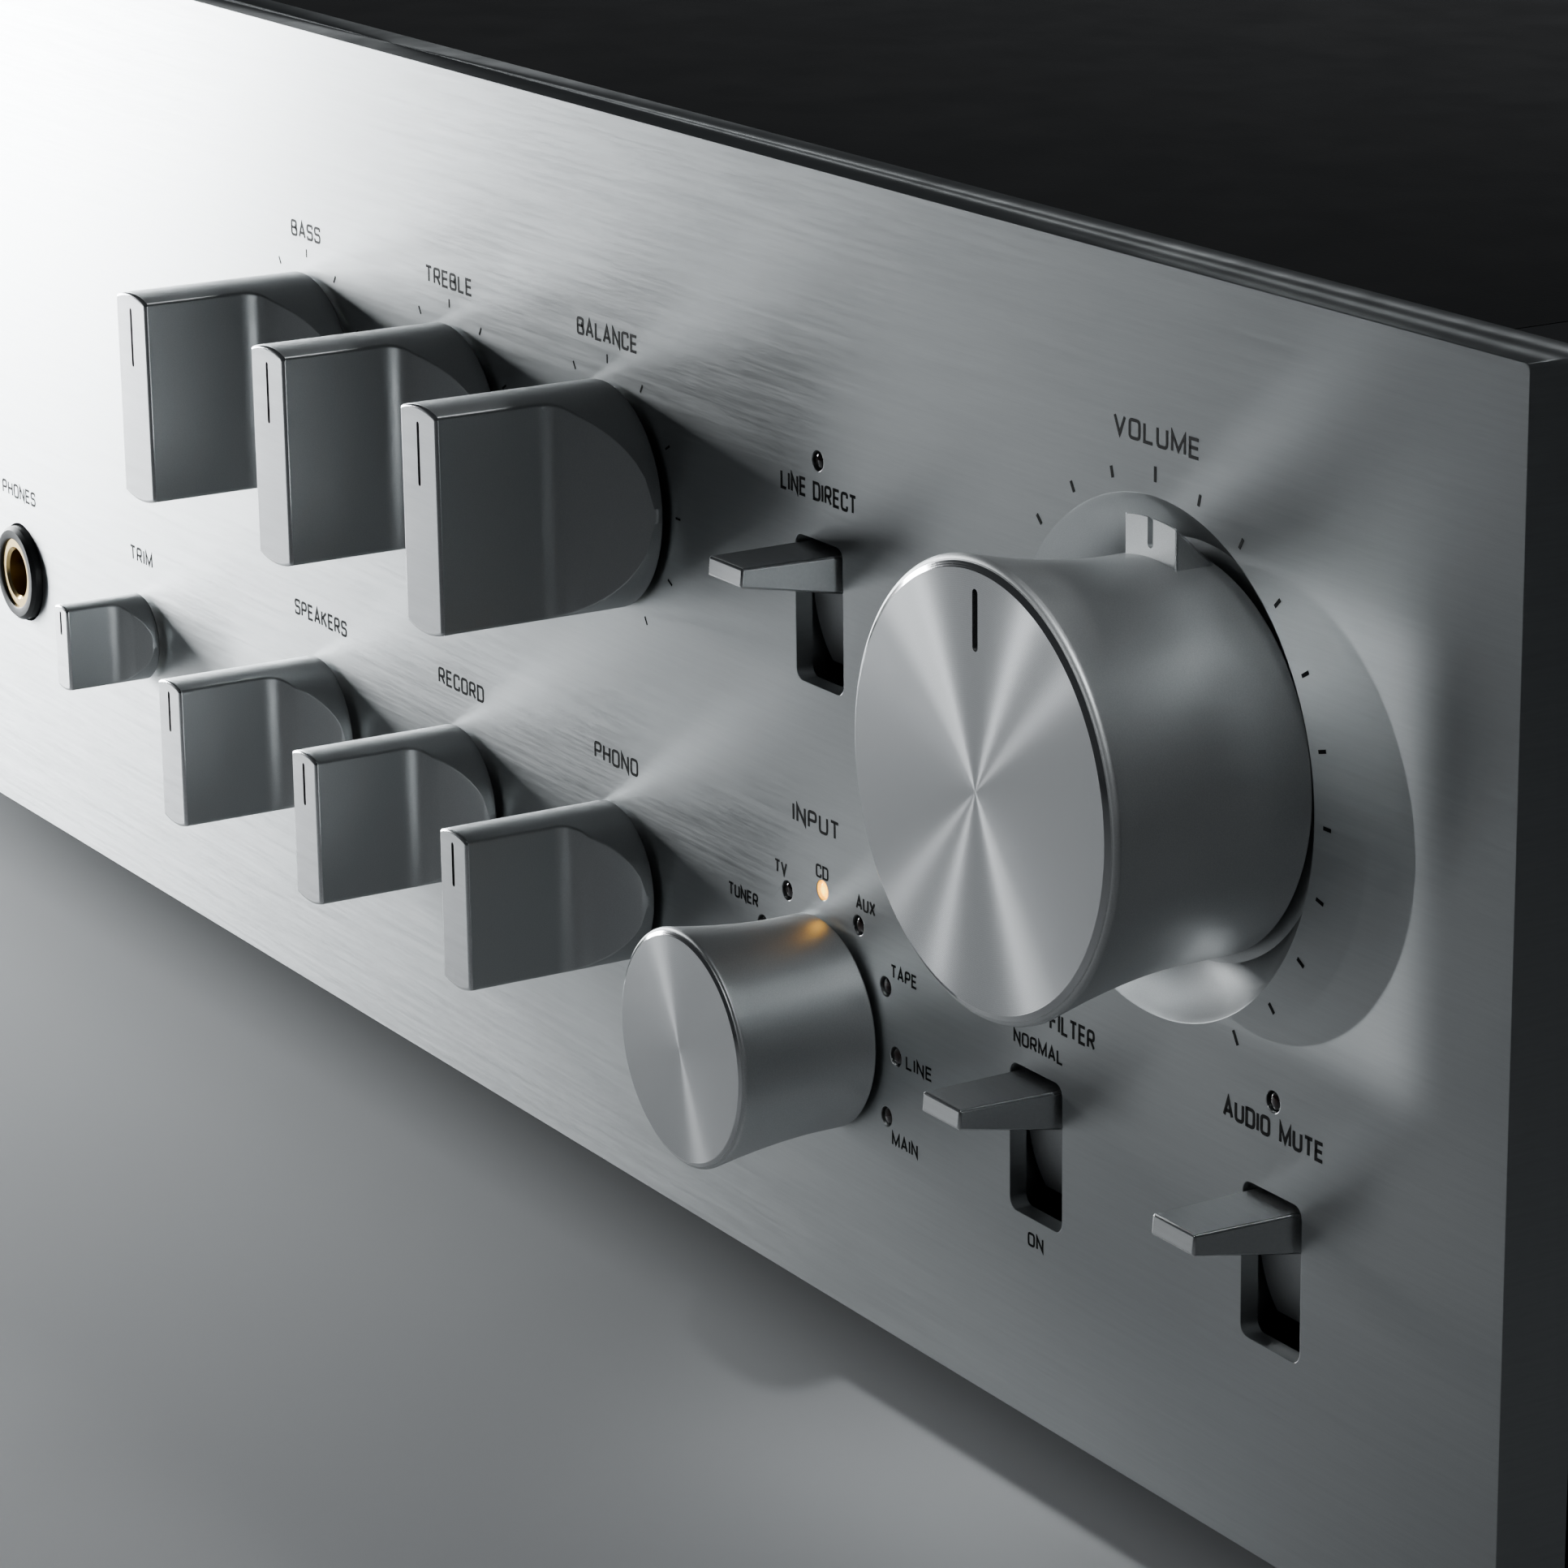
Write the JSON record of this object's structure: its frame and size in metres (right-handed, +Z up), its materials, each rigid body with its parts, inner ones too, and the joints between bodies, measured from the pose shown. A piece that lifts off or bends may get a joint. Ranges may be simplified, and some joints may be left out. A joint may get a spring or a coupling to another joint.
{
  "type": "stereo receiver",
  "caption": "Full-width hi-fi amplifier with a thick brushed aluminium front, turned and wedge-grip knobs, toggle levers and a black case on four feet.",
  "frame": {"origin": "middle of the bounding box's underside, on the surface that the feet stand on", "axes": "+X to the right seen from the front, +Y from the front to the back, +Z up"},
  "size_m": [0.435, 0.438, 0.137],
  "materials": {
    "front_aluminium": "hairline brushed, clear anodised",
    "knob_aluminium": "bead blasted body with a spun face and a polished chamfer",
    "grip_aluminium": "fine satin, anodised",
    "lever_aluminium": "satin with polished edges",
    "zinc_steel": "zinc plated sheet",
    "shaft_steel": "turned",
    "black_steel": "fine textured black paint",
    "black_lacquer": "gloss black lacquer",
    "foot_rubber": "matt moulded",
    "black_plastic": "matt moulded",
    "circuit_board": "green solder mask",
    "capacitor_sleeve": "shrunk sleeve",
    "heat_sink": "black anodised extrusion",
    "gold_plating": "gold plated",
    "lamp_lens": "amber lamp lens",
    "print_black": "screen printed ink",
    "print_white": "screen printed ink",
    "jack_white": "moulded insulator",
    "jack_red": "moulded insulator"
  },
  "bodies": {
    "chassis": {"front_panel": "front_aluminium", "front_subpanel": "zinc_steel", "chassis_base": "zinc_steel", "volume_control": "zinc_steel", "input_selector": "zinc_steel", "rear_panel": "black_steel", "top_cover": "black_steel", "power_transformer": "black_steel", "left_side_panel": "black_lacquer", "right_side_panel": "black_lacquer", "foot_front_left": "foot_rubber", "foot_front_right": "foot_rubber", "foot_rear_left": "foot_rubber", "foot_rear_right": "foot_rubber", "headphone_jack": "black_plastic", "power_switch": "black_plastic", "direct_switch": "black_plastic", "subsonic_switch": "black_plastic", "mute_switch": "black_plastic", "line_input_jacks": "black_plastic", "record_jacks": "black_plastic", "speaker_base_left": "black_plastic", "speaker_base_right": "black_plastic", "mains_inlet": "black_plastic", "tone_control_board": "circuit_board", "selector_board": "circuit_board", "power_amp_board_left": "circuit_board", "power_amp_board_right": "circuit_board", "preamp_board": "circuit_board", "filter_capacitor_left": "capacitor_sleeve", "filter_capacitor_right": "capacitor_sleeve", "heat_sink_left": "heat_sink", "heat_sink_right": "heat_sink", "power_led": "lamp_lens", "input_indicator_ring": "lamp_lens"},
    "volume": {"volume_knob": "knob_aluminium", "volume_shaft": "shaft_steel"},
    "input": {"input_knob": "knob_aluminium", "input_shaft": "shaft_steel"},
    "bass": {"bass_knob": "grip_aluminium"},
    "treble": {"treble_knob": "grip_aluminium"},
    "balance": {"balance_knob": "grip_aluminium"},
    "speakers": {"speakers_knob": "grip_aluminium"},
    "record": {"record_knob": "grip_aluminium"},
    "phono": {"phono_knob": "grip_aluminium"},
    "trim": {"trim_knob": "grip_aluminium"},
    "power": {"power_lever": "lever_aluminium"},
    "direct": {"direct_lever": "lever_aluminium"},
    "subsonic": {"subsonic_lever": "lever_aluminium"},
    "mute": {"mute_lever": "lever_aluminium"},
    "ground_screw": {"ground_terminal": "shaft_steel"},
    "speaker_cap_left_1_body": {"speaker_cap_left_1": "gold_plating"},
    "speaker_cap_left_2_body": {"speaker_cap_left_2": "gold_plating"},
    "speaker_cap_left_3_body": {"speaker_cap_left_3": "gold_plating"},
    "speaker_cap_left_4_body": {"speaker_cap_left_4": "gold_plating"},
    "speaker_cap_right_1_body": {"speaker_cap_right_1": "gold_plating"},
    "speaker_cap_right_2_body": {"speaker_cap_right_2": "gold_plating"},
    "speaker_cap_right_3_body": {"speaker_cap_right_3": "gold_plating"},
    "speaker_cap_right_4_body": {"speaker_cap_right_4": "gold_plating"}
  },
  "joints": [
    {"name": "volume_turn", "type": "hinge", "parent": "chassis", "child": "volume", "pos_m": [0.1631, -0.1954, 0.0893], "axis": [0, 1, 0], "range_deg": [-150, 150]},
    {"name": "input_turn", "type": "hinge", "parent": "chassis", "child": "input", "pos_m": [0.1025, -0.1954, 0.0456], "axis": [0, 1, 0], "range_deg": [-120, 120]},
    {"name": "bass_turn", "type": "hinge", "parent": "chassis", "child": "bass", "pos_m": [-0.0169, -0.1954, 0.0945], "axis": [0, 1, 0], "range_deg": [-150, 150]},
    {"name": "treble_turn", "type": "hinge", "parent": "chassis", "child": "treble", "pos_m": [0.0206, -0.1954, 0.0945], "axis": [0, 1, 0], "range_deg": [-150, 150]},
    {"name": "balance_turn", "type": "hinge", "parent": "chassis", "child": "balance", "pos_m": [0.0581, -0.1954, 0.0945], "axis": [0, 1, 0], "range_deg": [-150, 150]},
    {"name": "speakers_turn", "type": "hinge", "parent": "chassis", "child": "speakers", "pos_m": [-0.0169, -0.1954, 0.0495], "axis": [0, 1, 0], "range_deg": [-60, 60]},
    {"name": "record_turn", "type": "hinge", "parent": "chassis", "child": "record", "pos_m": [0.0206, -0.1954, 0.0495], "axis": [0, 1, 0], "range_deg": [-90, 90]},
    {"name": "phono_turn", "type": "hinge", "parent": "chassis", "child": "phono", "pos_m": [0.0581, -0.1954, 0.0495], "axis": [0, 1, 0], "range_deg": [-30, 30]},
    {"name": "trim_turn", "type": "hinge", "parent": "chassis", "child": "trim", "pos_m": [-0.0709, -0.1954, 0.0495], "axis": [0, 1, 0], "range_deg": [-150, 150]},
    {"name": "power_flip", "type": "hinge", "parent": "chassis", "child": "power", "pos_m": [-0.1629, -0.1704, 0.09285], "axis": [1, 0, 0], "range_deg": [0, 22.8]},
    {"name": "direct_flip", "type": "hinge", "parent": "chassis", "child": "direct", "pos_m": [0.1025, -0.1704, 0.09285], "axis": [1, 0, 0], "range_deg": [0, 22.8]},
    {"name": "subsonic_flip", "type": "hinge", "parent": "chassis", "child": "subsonic", "pos_m": [0.1432, -0.1704, 0.04645], "axis": [1, 0, 0], "range_deg": [0, 22.8]},
    {"name": "mute_flip", "type": "hinge", "parent": "chassis", "child": "mute", "pos_m": [0.183, -0.1704, 0.04645], "axis": [1, 0, 0], "range_deg": [0, 22.8]},
    {"name": "speaker_cap_left_1_turn", "type": "hinge", "parent": "chassis", "child": "speaker_cap_left_1_body", "pos_m": [0.0715, 0.197, 0.04], "axis": [0, 1, 0], "range_deg": [-720, 0]},
    {"name": "speaker_cap_left_2_turn", "type": "hinge", "parent": "chassis", "child": "speaker_cap_left_2_body", "pos_m": [0.0905, 0.197, 0.04], "axis": [0, 1, 0], "range_deg": [-720, 0]},
    {"name": "speaker_cap_left_3_turn", "type": "hinge", "parent": "chassis", "child": "speaker_cap_left_3_body", "pos_m": [0.1095, 0.197, 0.04], "axis": [0, 1, 0], "range_deg": [-720, 0]},
    {"name": "speaker_cap_left_4_turn", "type": "hinge", "parent": "chassis", "child": "speaker_cap_left_4_body", "pos_m": [0.1285, 0.197, 0.04], "axis": [0, 1, 0], "range_deg": [-720, 0]},
    {"name": "speaker_cap_right_1_turn", "type": "hinge", "parent": "chassis", "child": "speaker_cap_right_1_body", "pos_m": [-0.1285, 0.197, 0.04], "axis": [0, 1, 0], "range_deg": [-720, 0]},
    {"name": "speaker_cap_right_2_turn", "type": "hinge", "parent": "chassis", "child": "speaker_cap_right_2_body", "pos_m": [-0.1095, 0.197, 0.04], "axis": [0, 1, 0], "range_deg": [-720, 0]},
    {"name": "speaker_cap_right_3_turn", "type": "hinge", "parent": "chassis", "child": "speaker_cap_right_3_body", "pos_m": [-0.0905, 0.197, 0.04], "axis": [0, 1, 0], "range_deg": [-720, 0]},
    {"name": "speaker_cap_right_4_turn", "type": "hinge", "parent": "chassis", "child": "speaker_cap_right_4_body", "pos_m": [-0.0715, 0.197, 0.04], "axis": [0, 1, 0], "range_deg": [-720, 0]},
    {"name": "ground_turn", "type": "hinge", "parent": "chassis", "child": "ground_screw", "pos_m": [-0.076, 0.197, 0.104], "axis": [0, 1, 0], "range_deg": [-720, 0]}
  ]
}
